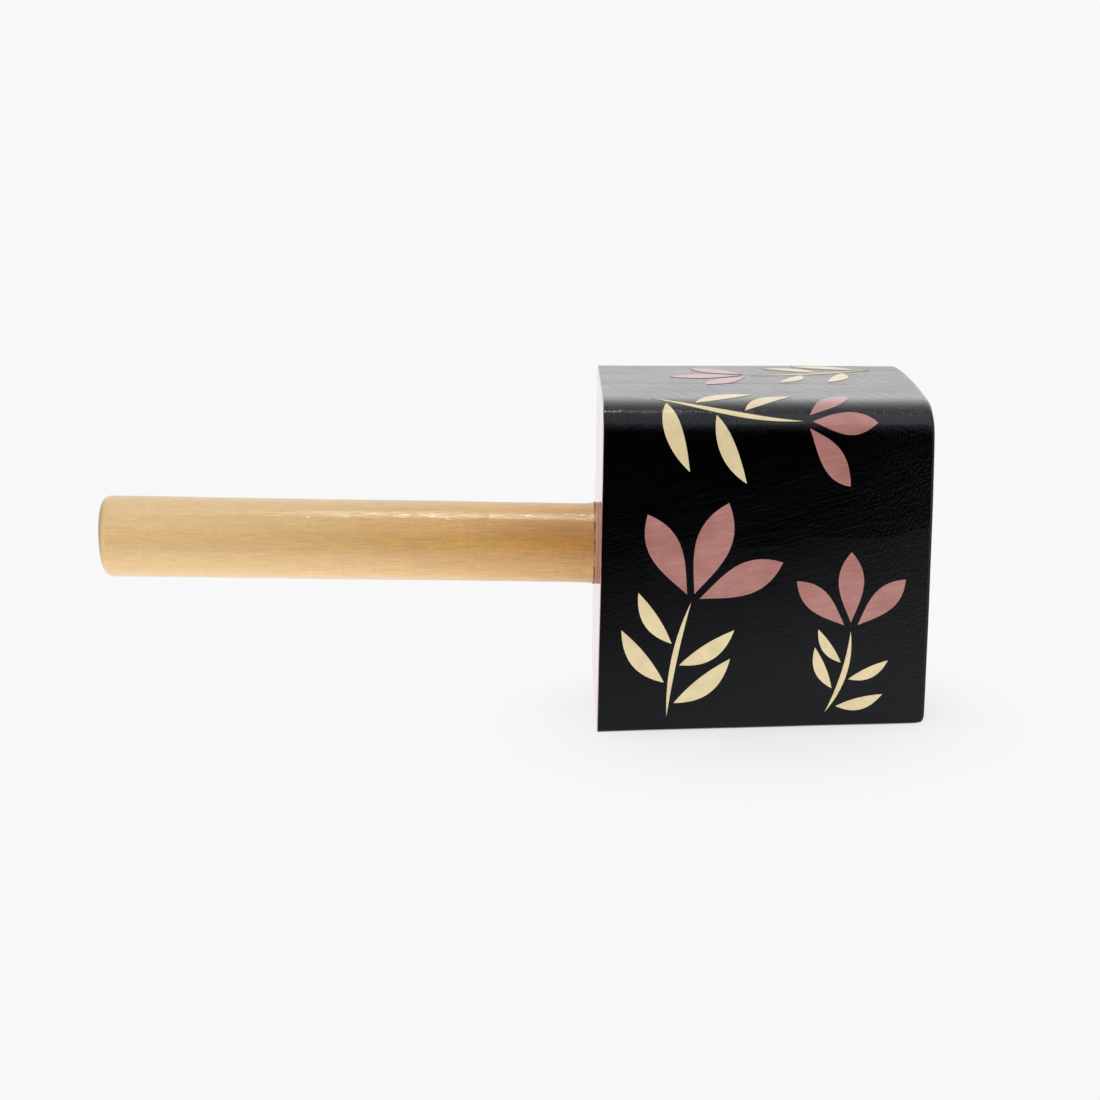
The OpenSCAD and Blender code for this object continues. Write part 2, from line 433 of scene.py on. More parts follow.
def varnished_cedar():
    """Yellow cedar turned, sanded and varnished: fine short grain, a deeper colour towards the head, a dull
    rim of end grain, a broken line of light on the varnish's ripples and a pale bloom where the surface
    turns away. Near the head the underside and the crest are paler, as painted bounce light and a
    painted highlight, and a band a little above the middle is darker, as painted shade."""
    add, place = new_material("yellow_cedar_turned_satin_varnish")
    tints = finishes()
    radius = stick().diameter / 2
    foot = -head().length / 2 * math.cos(HANDLE_RISE)
    end = foot - stick().length
    axis = (Matrix.Rotation(-HANDLE_RISE, 3, "Y") @ Vector(GRIP["pos_m"])).z
    level_place = add("Mapping", {"Vector": place, "Rotation": (0, -HANDLE_RISE, 0)})
    apart = add("SeparateXYZ", [level_place])
    along = apart.outputs["X"]
    across = apart.outputs["Z"]
    depth = add("MapRange", [along, end, foot], interpolation_type="SMOOTHSTEP")
    base, dark, light = (
        add("Mix", [depth, shade(tints.cedar_pale, pale), shade(tints.cedar_deep, deep)], data_type="RGBA")
        for pale, deep in ((1, 1), (0.76, 0.66), (1.06, 1.18)))

    # The dashes are coarser than real grain, and the ripples than those of real varnish, so that they show.
    broad_place, grain_place, dash_place, ring_place, wave_place, ripple_place = (
        add("Mapping", {"Vector": level_place, "Scale": per_mm(*sizes)})
        for sizes in ((60, 6, 6), (6, 0.4, 0.4), (1.6, 0.3, 0.3), (0.8, 7, 7), (12, 4, 4), (1.4, 0.6, 0.6)))
    broad = add("TexNoise", {"Vector": broad_place, "Scale": 1.0, "Distortion": 0.5})
    grain = add("TexNoise", {"Vector": grain_place, "Scale": 1.0, "Detail": 3.0})
    dashes = add("TexNoise", {"Vector": dash_place, "Scale": 1.0})
    rings = add("TexNoise", {"Vector": ring_place, "Scale": 1.0, "Detail": 3.0, "Distortion": 0.8})
    waves = add("TexNoise", {"Vector": wave_place, "Scale": 1.0})
    ripples = add("TexNoise", {"Vector": ripple_place, "Scale": 1.0, "Detail": 0.0})
    band = add("MapRange", [broad, 0.35, 0.65, 0.0, 0.8])
    line = add("MapRange", [grain, 0.4, 0.7, 0.0, 0.5])
    dash = add("MapRange", [dashes, 0.53, 0.7, 0.0, 0.45])
    ring = add("MapRange", [rings, 0.4, 0.7, 0.0, 0.14])
    colour = add("Mix", [band, base, light], data_type="RGBA")
    for mark in (line, dash, ring):
        colour = add("Mix", [mark, colour, dark], data_type="RGBA")

    # Painted light and shade: near the head a paler underside and crest, and a darker band above the middle
    underside = add("MapRange", [across, axis - 0.7 * radius, axis + 0.1 * radius, 1.0, 0.0])
    crest = add("MapRange", [across, axis + 0.7 * radius, axis + 0.95 * radius])
    painted_light = add("Math", [underside, crest], operation="MAXIMUM")
    painted_light = add("Math", [painted_light, depth], operation="MULTIPLY")
    shade_band_offset = add("Math", [across, axis + 0.45 * radius], operation="SUBTRACT")
    shade_band_offset = add("Math", [shade_band_offset], operation="ABSOLUTE")
    painted_shade = add("MapRange", [shade_band_offset, 0.0, 0.35 * radius, 1.0, 0.0], interpolation_type="SMOOTHSTEP")
    near_head = add("MapRange", [along, foot - 45 * MM, foot - 14 * MM, 0.0, 0.69])
    painted_shade = add("Math", [painted_shade, near_head], operation="MULTIPLY")
    painted_light_and_shade = add("VectorMath", [painted_light, (0.21, 0.38, 0.8), (1.0, 1.0, 1.0)], operation="MULTIPLY_ADD")
    painted_light_and_shade = add("VectorMath", [painted_shade, (-0.3, -0.36, -0.62), painted_light_and_shade], operation="MULTIPLY_ADD")
    colour = add("VectorMath", [colour, painted_light_and_shade], operation="MULTIPLY")

    rim = add("MapRange", [along, end + 0.4 * MM, end + 1.8 * MM, 0.85, 0.0], interpolation_type="SMOOTHSTEP")
    colour = add("Mix", [rim, colour, shade(tints.cedar_end, 1)], data_type="RGBA")
    thinned = [(1.9 * pink + cream) / 2 for pink, cream in zip(tints.pink, tints.cream)]
    wash = add("MapRange", [along, foot - 1.1 * MM, foot - 0.8 * MM, 0.0, 1.0])
    colour = add("Mix", [wash, colour, shade(thinned, 1)], data_type="RGBA")
    gloss = add("MapRange", [grain, 0.3, 0.7, 0.34, 0.46])
    swell = add("Bump", {"Height": waves, "Distance": 0.08 * MM})
    varnish = add("Bump", {"Height": ripples, "Distance": 0.09 * MM, "Normal": swell})
    level = add("Bump", {"Height": grain, "Distance": 0.015 * MM, "Normal": swell})
    level = add("Bump", {"Height": dashes, "Distance": 0.03 * MM, "Normal": level})
    shader = add("BsdfPrincipled", {
        "Base Color": colour, "Roughness": gloss, "IOR": 1.5, "Coat Weight": 0.5, "Coat Roughness": 0.12,
        "Coat IOR": 1.5, "Coat Normal": varnish, "Sheen Weight": 0.6, "Sheen Roughness": 0.3,
        "Sheen Tint": (1.0, 0.95, 0.92, 1.0), "Normal": level})
    add("OutputMaterial", [shader])


def layered(name, rgb, shades, layers, surface, coloured=-1):
    """A material with layers of relief, each given by the sizes of its features, its detail and its height.
    Sizes and heights are in millimetres. One layer also colours it, from a darker to a lighter shade."""
    add, place = new_material(name)
    level = {}
    patterns = []
    for sizes, detail, height in layers:
        layer_place = add("Mapping", {"Vector": place, "Scale": per_mm(*sizes)})
        patterns.append(add("TexNoise", {"Vector": layer_place, "Scale": 1.0, "Detail": detail}))
        level = {"Normal": add("Bump", {"Height": patterns[-1], "Distance": height * MM, **level})}
    colour = add("Mix", [patterns[coloured], *(shade(rgb, factor) for factor in shades)], data_type="RGBA")
    shader = add("BsdfPrincipled", {"Base Color": colour, **level, **surface})
    add("OutputMaterial", [shader])


def plain_finishes():
    """Finishes that look the same all over a piece."""
    tints = finishes()
    # Pink under a poured gloss varnish, which mirrors the handle at a low angle
    layered("pink_acrylic_gloss_varnish", tints.pink, (0.88, 1.1),
            [((9, 9, 9), 2.0, 0.04), ((0.8, 6, 0.6), 2.0, 0.004)], {"Roughness": 0.06, "IOR": 1.65})
    # Cream acrylic laid thick with a pointed brush: soft mottling, a fine tooth and a soft satin
    layered("cream_acrylic_brushed", tints.cream, (0.82, 1.16),
            [((4, 4, 4), 4.0, 0.03), ((0.5, 0.5, 0.5), 2.0, 0.006)],
            {"Roughness": 0.3, **BRUSHED_ACRYLIC}, coloured=0)
    # Cedar as the gouge left it: pale and matt, with shallow tool marks
    layered("yellow_cedar_gouged", tints.raw, (0.75, 1.1),
            [((7, 4, 4), 2.0, 0.3), ((18, 0.8, 0.8), 3.0, 0.03)], {"Roughness": 0.7})
    # Undercoat that a brush left bare along the crisp edge of the handle side: dark and blotchy
    layered("maroon_undercoat_brushed", tints.maroon, (0.4, 1.5), [((3, 3, 5), 2.0, 0.02)],
            {"Roughness": 0.25})
    # Split and shaved hardwood: straight grain across the seam
    layered("hardwood_shaved_peg", tints.peg, (0.75, 1.15), [((0.4, 10, 0.4), 3.0, 0.03)],
            {"Roughness": 0.55})
    # Glue squeezed out and stained by the paint: dark, lumpy and shiny
    layered("wood_glue_dried_stained", tints.glue, (0.5, 1.2), [((2.5, 2.5, 2.5), 3.0, 0.06)],
            {"Roughness": 0.25})


def river_stone():
    """Water-worn stone: speckled, smooth and dull."""
    add, place = new_material("river_stone_tumbled")
    stone = finishes().stone
    vein_place = add("Mapping", {"Vector": place, "Scale": per_mm(4, 2, 3)})
    veins = add("TexNoise", {"Vector": vein_place, "Scale": 1.0, "Distortion": 1.2})
    specks = add("TexNoise", {"Vector": place, "Scale": 1 / (0.5 * MM), "Detail": 3.0})
    speck = add("MapRange", [specks, 0.55, 0.7])
    ground = add("Mix", [veins, shade(stone, 0.7), shade(stone, 1.25)], data_type="RGBA")
    colour = add("Mix", [speck, ground, shade(stone, 0.5)], data_type="RGBA")
    level = add("Bump", {"Height": specks, "Distance": 0.02 * MM})
    shader = add("BsdfPrincipled", {"Base Color": colour, "Roughness": 0.6, "Normal": level})
    add("OutputMaterial", [shader])


class RATTLE_OT_materials(Operator):
    """Mixes the paints, woods, glue and stone"""
    bl_idname = "rattle.materials"
    bl_label = "Materials"

    def execute(self, context):
        for mix in (black_paint, pink_paint, varnished_cedar, plain_finishes, river_stone):
            mix()
        return {"FINISHED"}


# Head


def head_corners(neck_inset, inset):
    """Corners of the head seen from the front, moved in from the handle side and from the others."""
    size = head()
    lean = math.tan(HANDLE_RISE)
    fall = math.tan(size.top_fall)
    top_x = -size.length / 2 + size.height * lean
    neck_x = -size.length / 2 + neck_inset / math.cos(HANDLE_RISE)
    far_x = size.length / 2 - inset / math.cos(HANDLE_RISE)
    top_z = size.height - inset / math.cos(size.top_fall) + top_x * fall

    def under_top(start):
        level = (top_z - start * fall) / (1 + lean * fall)
        return start + level * lean, level

    lower = [(x + inset * lean, inset) for x in (neck_x, far_x)]
    return lower + [under_top(far_x), under_top(neck_x)]


def block(name, corners, half_depth):
    """A block whose front outline has the four given corners, added as a cube and pulled into place."""
    low = corners[0][1]
    wide = corners[1][0] - corners[0][0]
    tall = corners[3][1] - low
    centre = Vector((corners[0][0] + wide / 2, 0, low + tall / 2))
    made = start_piece(name, "cube", size=1, location=centre, scale=(wide, 2 * half_depth, tall))
    edit(made)
    for side, corner in ((1, corners[2]), (-1, corners[3])):
        at = Vector((centre.x + side * wide / 2, 0, low + tall))
        pick("verts", lambda v: v.co.z > centre.z and (v.co.x - centre.x) * side > 0)
        bpy.ops.transform.translate(value=(corner[0] - at.x, 0, corner[1] - at.z))
    close_edit()
    return made


def cut_loops(places, normal):
    """Adds a loop of edges at each place, across the whole of the piece being edited."""
    for place in places:
        pick_all()
        bpy.ops.mesh.bisect(plane_co=place, plane_no=normal, threshold=MERGE_DISTANCE)


def spread(start, end, count):
    """Even steps from start to end, both included."""
    return [start + (end - start) * step / (count - 1) for step in range(count)]


def crease(value, *planes):
    """Keeps the corner edges crisp that lie on all of the given planes, each a place and a normal."""
    corner_angle = 0.5
    pick("edges", lambda e: e.calc_face_angle() > corner_angle and all(
        abs((v.co - place).dot(normal)) < SAME_PLACE for v in e.verts for place, normal in planes))
    bpy.ops.transform.edge_crease(value=value)


def crown_shift(place):
    """Shift that swells the front and the back of the head about their middles."""
    size = head()
    if abs(place.y) <= size.depth / 2 - SAME_PLACE:
        return Vector()
    across = 2 * place.x / size.length
    up = 2 * place.z / size.height - 1
    gain = size.crown * max(0, 1 - across * across) * max(0, 1 - up * up)
    return math.copysign(gain, place.y) * TO_BACK


def far_end_shift(place):
    """Shift that bows the far end of the head and draws in its upper corners."""
    size = head()
    if (place - Vector((size.length / 2, 0, 0))).dot(TO_FAR_END) <= -SAME_PLACE:
        return Vector()
    aside = place.y / size.depth
    taken = size.far_taper * (0.5 - aside) + size.far_ease * max(0, 2 * aside) ** 6
    bow = size.far_bow * max(0, 1 - 4 * aside * aside)
    return TO_FAR_END * (bow - taken * (place.z / size.height) ** 2)


class RATTLE_OT_head_blank(Operator):
    """Shapes the head as one solid block, before it is split and hollowed"""
    bl_idname = "rattle.head_blank"
    bl_label = "Head blank"

    def execute(self, context):
        size = head()
        half = size.depth / 2
        inner = 10 * MM
        corners = head_corners(0, 0)
        blank = block("head_blank", corners, half)
        slope = Vector((math.sin(size.top_fall), 0, math.cos(size.top_fall)))
        start = Vector((-size.length / 2, 0, 0))
        ridge = Vector((corners[3][0], 0, corners[3][1]))
        eave = size.height - size.top_edge
        edit(blank)
        along = [size.neck_edge, 3 * size.neck_edge]
        along += spread(inner, size.length - 2.4 * size.far_edge, 8) + [size.length - size.far_edge]
        cut_loops([start + Vector((step, 0, 0)) for step in along], TO_FAR_END)
        across = spread(size.front_edge - half, half - inner, 6) + [half - size.back_edge]
        cut_loops([step * TO_BACK for step in across], TO_BACK)
        upward = [size.base_edge] + spread(inner, eave - 9 * MM, 7)
        cut_loops([step * UP for step in upward], UP)
        cut_loops([Vector((ridge.x, 0, eave))], slope)
        neck, far = (start, TO_FAR_END), (-start, TO_FAR_END)
        front, back = (-half * TO_BACK, TO_BACK), (half * TO_BACK, TO_BACK)
        base, top = (Vector(), UP), (ridge, slope)
        crease(0.6, neck)
        crease(0.52, base, front)
        crease(0.52, base, back)
        crease(0.55, far, front)
        crease(0.3, far, top)
        move_verts(crown_shift)
        move_verts(far_end_shift)
        close_edit()
        modify(blank, "SUBSURF", levels=3, render_levels=3)
        uneven(blank, "carving", 34 * MM, size.carving)
        return {"FINISHED"}


def fitted_cutter(node):
    """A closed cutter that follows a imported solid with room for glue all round."""
    cutter = copy_of(frame["nodes"][node], node + "_cutter")
    edit(cutter)
    pick_all()
    bpy.ops.mesh.remove_doubles(threshold=MERGE_DISTANCE)
    bpy.ops.transform.shrink_fatten(value=GLUE_GAP)
    close_edit()
    return cutter


def socket_cutter():
    """A closed cutter for the tenon's socket, turned so that none of its edges lies on the seam."""
    size = stick()
    reach = size.tenon_length + 0.5 * MM
    mouth = 2 * MM
    steps = 72
    cutter = start_piece(
        "socket_cutter", "cylinder", vertices=steps, radius=size.tenon_diameter / 2 + GLUE_GAP,
        depth=reach + mouth, location=(0, 0, (mouth - reach) / 2), rotation=(0, 0, math.pi / steps))
    settle(cutter, handle_place())
    return cutter


class RATTLE_OT_halves(Operator):
    """Splits the head into its front and back halves and hollows them"""
    bl_idname = "rattle.halves"
    bl_label = "Head halves"

    def execute(self, context):
        size = head()
        # Cosines of the angle between a face's normal and the way to the far end or to the seam
        pink_below = -0.8
        maroon_below = -0.3
        raw_above = 0.99
        chamber = block("chamber_cutter", head_corners(size.neck_wall, size.wall), size.depth / 2 - size.wall)
        edit(chamber)
        pick("edges", lambda e: abs(e.verts[0].co.y - e.verts[1].co.y) > size.wall)
        bpy.ops.mesh.bevel(offset=size.chamber_round, segments=8, affect="EDGES")
        close_edit()
        cutters = [chamber, socket_cutter()] + [fitted_cutter(node) for node in PEGS]
        for cutter in cutters:
            coat(cutter, "yellow_cedar_gouged")
        for side, node in ((-1, "front_shell"), (1, "back_shell")):
            half = copy_of(bpy.data.objects["head_blank"], node.replace("shell", "half"))
            coat(half, "black_acrylic_brushed_satin_varnish", "pink_acrylic_gloss_varnish",
                 "maroon_undercoat_brushed", "yellow_cedar_gouged")
            edit(half)
            pick_all()
            bpy.ops.mesh.bisect(plane_co=(0, 0, 0), plane_no=(0, -side, 0), use_fill=True, clear_outer=True)
            pick("edges", lambda e: all(abs(v.co.y) < 0.01 * MM for v in e.verts))
            bpy.ops.mesh.bevel(offset=size.seam, segments=2, affect="EDGES")
            close_edit()
            paint_faces(half, 1, lambda f: f.normal.dot(TO_FAR_END) < pink_below)
            paint_faces(half, 2, lambda f: pink_below <= f.normal.dot(TO_FAR_END) < maroon_below)
            paint_faces(half, 3, lambda f: f.normal.y * -side > raw_above)
            for cutter in cutters:
                boolean(half, cutter, "DIFFERENCE")
            finish_piece(half, "lacquered_cedar", node)
        for cutter in cutters:
            remove(cutter)
        return {"FINISHED"}


# Sprigs


LEAVES = 4
SPRIG_ANGLE = math.radians(46)
STEM_HALF_WIDTH = 0.75 * MM
LEAF_GAP = 1.6 * MM
PETAL_GAP = 2.4 * MM


def blade(start, direction, reach, narrow, wide, bend):
    """Outline of a pointed leaf or petal, as knots with their two handles. Its width near the start and
    near the end and the bend of its middle are shares of its reach."""
    aside = Vector((-direction.y, direction.x)) * reach
    lead = start + direction * reach * 0.33 + aside * bend
    trail = start + direction * reach * 0.64 + aside * bend
    return [(start, lead - aside * narrow, lead + aside * narrow),
            (start + direction * reach, trail + aside * wide, trail - aside * wide)]


def stem(knots, half_width):
    """Outline of a stem that tapers to both ends along a curve."""
    start, lead, trail, end = knots
    along = (end - start).normalized()
    # A cubic curve swells to three quarters of the height of its handles.
    width = Vector((-along.y, along.x)) * half_width / 0.75
    return [(start, lead - width, lead + width), (end, trail + width, trail - width)]


def turned(vector, turn):
    """A flat vector turned to the left by an angle."""
    return Vector((vector.x * math.cos(turn) - vector.y * math.sin(turn),
                   vector.x * math.sin(turn) + vector.y * math.cos(turn)))


def along_curve(knots, share):
    """Point and direction at a share of a cubic curve."""
    a, b, c, d = knots
    rest = 1 - share
    point = a * rest ** 3 + b * 3 * rest ** 2 * share + c * 3 * rest * share ** 2 + d * share ** 3
    slope = (b - a) * rest ** 2 + (c - b) * 2 * rest * share + (d - c) * share ** 2
    return point, slope.normalized()


def sprig(root, tip, bow, leaf, bloom):
    """Outlines of a sprig, in millimetres: cream for its stem and alternate leaves, pink for three petals.
    Its bow is a share of its reach, and leaf and bloom are the lengths of its leaves and petals."""
    root = Vector(root) * MM
    reach = Vector(tip) * MM - root
    side = Vector((-reach.y, reach.x)) * bow
    centre = (root, root + reach * 0.33 + side, root + reach * 0.67 + side, root + reach)
    cream = [stem(centre, STEM_HALF_WIDTH)]
    for number in range(LEAVES):
        share = 0.12 + 0.5 * number / (LEAVES - 1)
        point, slope = along_curve(centre, share)
        hand = 1 if number % 2 else -1
        outward = turned(slope, hand * SPRIG_ANGLE)
        start = point + turned(slope, hand * math.pi / 2) * LEAF_GAP
        size = leaf * (1.1 - 0.3 * share) * MM
        cream.append(blade(start, outward, size, 0.17, 0.17, hand * 0.1))
    point, slope = along_curve(centre, 1)
    pink = []
    for hand in (-1, 0, 1):
        outward = turned(slope, hand * SPRIG_ANGLE)
        size = bloom * (0.92 if hand else 1) * MM
        pink.append(blade(point + outward * PETAL_GAP, outward, size, 0.13, 0.32, 0))
    return cream, pink


class Side:
    """A painted side of the head: where its drawing lies, which way it faces and how deep it is projected."""

    def __init__(self, name, origin, across, up, depth=16):
        self.name = name
        self.depth = depth * MM
        self.outward = Vector(across).cross(Vector(up))
        self.place = Matrix((across, up, self.outward)).transposed().to_4x4()
        self.place.translation = origin


def prisms(name, outlines, side):
    """Closed prisms on the given outlines, drawn as curves and set across a side of the head."""
    made = []
    for number, knots in enumerate(outlines):
        deselect()
        bpy.ops.curve.primitive_bezier_curve_add()
        drawn = new_piece(f"{name}_{number}")
        drawn.data.dimensions = "2D"
        drawn.data.fill_mode = "BOTH"
        drawn.data.extrude = side.depth
        drawn.data.resolution_u = 20
        spline = drawn.data.splines[0]
        spline.use_cyclic_u = True
        for point, (place, before, after) in zip(spline.bezier_points, knots):
            point.handle_left_type = point.handle_right_type = "FREE"
            point.co = place.to_3d()
            point.handle_left = before.to_3d()
            point.handle_right = after.to_3d()
        bpy.ops.object.convert(target="MESH")
        made.append(bpy.context.active_object)
    pick_only(made[0])
    for drawn in made:
        drawn.select_set(True)
    bpy.ops.object.join()
    joined = new_piece(name)
    settle(joined, side.place)
    edit(joined)
    pick_all()
    bpy.ops.mesh.remove_doubles(threshold=MERGE_DISTANCE)
    bpy.ops.mesh.normals_make_consistent(inside=False)
    close_edit()
    return joined


def paint_film(name, outlines, side, material):
    """A thin film of paint on the head, cut from a copy of its surface by the outlines."""
    cutter = prisms(name + "_cutter", outlines, side)
    film = copy_of(bpy.data.objects["head_blank"], name)
    boolean(film, cutter, "INTERSECT")
    remove(cutter)
    if not film.data.polygons:
        raise RuntimeError(name + " came out empty: two of its outlines overlap")
    edit(film)
    pick("faces", lambda f: f.normal.dot(side.outward) < 0.12)
    bpy.ops.mesh.delete(type="FACE")
    close_edit()
    sunk = 0.04 * MM
    thickness = finishes().film + sunk
    modify(film, "SOLIDIFY", thickness=thickness, offset=1 - 2 * sunk / thickness)
    coat(film, material)
    finish_piece(film, "lacquered_cedar")


class RATTLE_OT_sprigs(Operator):
    """Paints cream and pink sprigs on the sides of the head"""
    bl_idname = "rattle.sprigs"
    bl_label = "Painted sprigs"

    def execute(self, context):
        size = head()
        half = size.depth / 2
        slant = math.sqrt(0.5)
        front = Side("front", (0, -half, 0), (1, 0, 0), (0, 0, 1))
        back = Side("back", (0, half, 0), (-1, 0, 0), (0, 0, 1))
        end = Side("end", (size.length / 2, 0, 0), (0, 1, 0), (0, 0, 1))
        eave = Side("eave", (0, -half, size.height), (1, 0, 0), (0, slant, slant), 26)
        top = Side("top", (0, 0, size.height), (1, 0, 0), (0, 1, 0))
        layouts = {
            front: [sprig((-25, 4), (-18, 35), 0.05, 18, 26), sprig((17, 4), (24, 26), -0.1, 12, 19)],
            eave: [sprig((-27, 8), (12, -3), -0.08, 17, 17)],
            top: [sprig((37, 26), (2, 14), 0.08, 17, 20)],
            back: [sprig((-20, 5), (-16, 34), 0.03, 18, 23), sprig((18, 6), (22, 30), -0.05, 14, 19)],
            end: [sprig((2, 6), (-3, 46), 0.08, 20, 24)],
        }
        for side, sprigs in layouts.items():
            cream = [outline for leaves, petals in sprigs for outline in leaves]
            pink = [outline for leaves, petals in sprigs for outline in petals]
            paint_film(side.name + "_leaves", cream, side, "cream_acrylic_brushed")
            paint_film(side.name + "_petals", pink, side, "pink_acrylic_brushed")
        remove(bpy.data.objects["head_blank"])
        return {"FINISHED"}


# Handle


def handle_place():
    """Place of the handle's shoulder on the head, with +Z towards the free end."""
    neck = Vector((-head().length / 2, 0, 0))
    grip = Vector(GRIP["pos_m"])
    shoulder = grip + HANDLE_AXIS * (neck - grip).dot(HANDLE_AXIS)
    return Matrix.Translation(shoulder) @ Matrix.Rotation(HANDLE_RISE - math.pi / 2, 4, "Y")


class RATTLE_OT_handle(Operator):
    """Turns the handle with its tenon, its domed end and its flare at the head"""
    bl_idname = "rattle.handle"
    bl_label = "Handle"

    def execute(self, context):
        size = stick()
        radius = size.diameter / 2
        rim = size.length - size.end_crown
        straight = rim - size.end_round
        rings = 92
        near = 0.1 * MM
        on_top = rim - 0.01 * MM
        handle = start_piece(
            "turned_handle", "cylinder", vertices=72, radius=radius, depth=rim, location=(0, 0, rim / 2))
        edit(handle)
        pick("edges", lambda e: all(v.co.z > on_top for v in e.verts))
        bpy.ops.mesh.bevel(offset=size.end_round, segments=7, affect="EDGES")
        pick("faces", lambda f: all(v.co.z > on_top for v in f.verts))
        for rise in (0.36, 0.28, 0.2, 0.12, 0.04):
            bpy.ops.mesh.inset(thickness=(radius - size.end_round) * 0.18)
            bpy.ops.transform.translate(value=(0, 0, size.end_crown * rise))
        pick("edges", lambda e: abs(e.verts[0].co.z - e.verts[1].co.z) > size.length / 2)
        bpy.ops.mesh.subdivide(number_cuts=rings - 1)
        pick("faces", lambda f: f.normal.z < -0.99)
        bpy.ops.mesh.inset(thickness=radius - size.tenon_diameter / 2)
        bpy.ops.mesh.extrude_region_move(TRANSFORM_OT_translate={"value": (0, 0, -size.tenon_length)})
        for ring in range(rings + 1):
            level = straight * ring / rings
            gain = size.swell * (level / straight - 0.4)
            gain += size.flare * max(0, 1 - level / size.flare_length) ** 2
            grow = 1 + gain / radius
            top = 2 * size.length if ring == rings else level + near
            pick("verts", lambda v: level - near < v.co.z < top
                 and (ring > 0 or v.co.to_2d().length > radius * 0.9))
            bpy.ops.transform.resize(value=(grow, grow, 1), center_override=(0, 0, level))
        pick("verts", lambda v: v.co.z > straight - near)
        bpy.ops.transform.rotate(
            value=size.end_slant, orient_axis="Y", center_override=(-radius, 0, straight))
        close_edit()
        uneven(handle, "turning", 22 * MM, 0.22 * MM)
        settle(handle, handle_place())
        cutter = fitted_cutter("tenon_peg")
        boolean(handle, cutter, "DIFFERENCE")
        remove(cutter)
        coat(handle, "yellow_cedar_turned_satin_varnish", "yellow_cedar_gouged")
        shoulder = handle_place().translation
        paint_faces(handle, 1, lambda f: (f.calc_center_median() - shoulder).dot(HANDLE_AXIS) < -SAME_PLACE)
        finish_piece(handle, "varnished_cedar", "handle")
        return {"FINISHED"}


class RATTLE_OT_glue(Operator):
    """Lays the uneven bead of glue where the handle enters the head"""
    bl_idname = "rattle.glue"
    bl_label = "Glue bead"

    def execute(self, context):
        size = stick()
        bead = start_piece(
            "glue_bead", "torus", major_radius=size.diameter / 2 + size.flare * 0.5, minor_radius=size.bead,
            location=(0, 0, size.squeeze), major_segments=200, minor_segments=12)
        uneven(bead, "squeeze_out", 2.2 * MM, 0.6 * MM)
        settle(bead, handle_place())
        coat(bead, "wood_glue_dried_stained")
        finish_piece(bead, "varnished_cedar")
        return {"FINISHED"}


# Pebbles and pegs


class RATTLE_OT_pebbles(Operator):
    """Shapes each loose pebble as a worn stone of its own"""
    bl_idname = "rattle.pebbles"
    bl_label = "Pebbles"

    def execute(self, context):
        for node in PEBBLES:
            low, high = (Vector(corner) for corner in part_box(node))
            stone = start_piece(
                node.replace("pebble", "stone"), "ico_sphere", subdivisions=4, radius=0.5,
                location=(low + high) / 2, scale=(high - low) * 0.97)
            uneven(stone, node + "_wear", 4 * MM, 0.5 * MM)
            coat(stone, "river_stone_tumbled")
            finish_piece(stone, "pebble", node, body=node)
        return {"FINISHED"}


class RATTLE_OT_pegs(Operator):
    """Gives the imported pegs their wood"""
    bl_idname = "rattle.pegs"
    bl_label = "Pegs"

    def execute(self, context):
        for node in PEGS:
            for slot in frame["nodes"][node].material_slots:
                slot.material = bpy.data.materials["hardwood_shaved_peg"]
        return {"FINISHED"}


# Stage


def seamless_paper():
    """White seamless paper: it glows evenly to the camera and in reflections, and fades out of the
    reflections towards the camera. Round the head less of its glow shows, which keeps a soft trace of the
    real shadow and also makes the floor there darker, as a painted shadow."""
    add, place = new_material("white_seamless_paper")
    white = bpy.context.scene.rattle_stage.white
    path = add("LightPath")
    paper = add("BsdfDiffuse", {"Color": (0.92, 0.92, 0.92, 1)})
    lit = add("Emission", {"Color": (1, 1, 1, 1), "Strength": 0.55})
    glow = add("Emission", {"Color": (white, white, white, 1), "Strength": 1.0})
    # Painted shadow: less of the glow shows round a point just in front of the head, so the floor is darker
    # there
    away = add("VectorMath", [place, (0.0, -0.03, 0.0)], operation="DISTANCE")
    share = add("MapRange", [away, 0.02, 0.08, 0.7, 1.0], interpolation_type="SMOOTHSTEP")
    viewed = add("Math", [path.outputs["Is Camera Ray"], path.outputs["Is Glossy Ray"]], operation="MAXIMUM")
    seen = add("Math", [viewed, share], operation="MULTIPLY")
    bounce = add("AddShader", [paper, lit])
    mixed = add("MixShader", [path.outputs["Is Diffuse Ray"], paper, bounce])
    mixed = add("MixShader", [seen, mixed, glow])
    near = add("VectorMath", [place, (0.9, 1.0, 0.0)], operation="DOT_PRODUCT")
    faded = add("MapRange", [near, -0.29, -0.045, 1.0, 0.22])
    unmirrored = add("Math", [faded, path.outputs["Is Glossy Ray"]], operation="MULTIPLY")
    ended = add("MixShader", [unmirrored, mixed, add("BsdfTransparent")])
    add("OutputMaterial", [ended])


def studio_world():
    """A white tent round the object, open and dark behind the camera."""
    stage = bpy.context.scene.rattle_stage
    world = bpy.data.worlds.new("light_tent")
    bpy.context.scene.world = world
    world.use_nodes = True
    world.node_tree.nodes.clear()
    add = partial(add_node, world.node_tree)
    away = add("SeparateXYZ", [add("TexCoord").outputs["Generated"]]).outputs["Y"]
    path = add("LightPath")
    cover = add("MapRange", [away, -0.96, -0.73, 0.0, 1.0], interpolation_type="SMOOTHSTEP")
    level = add("MapRange", [path.outputs["Is Glossy Ray"], 0.0, 1.0, stage.tent, 1.0])
    strength = add("Math", [cover, level], operation="MULTIPLY")
    tent = add("Background", {"Strength": strength, "Color": (1, 1, 1, 1)})
    seen = add("Background", {"Strength": stage.white, "Color": (1, 1, 1, 1)})
    mixed = add("MixShader", [path.outputs["Is Camera Ray"], tent, seen])
    add("OutputWorld", [mixed])


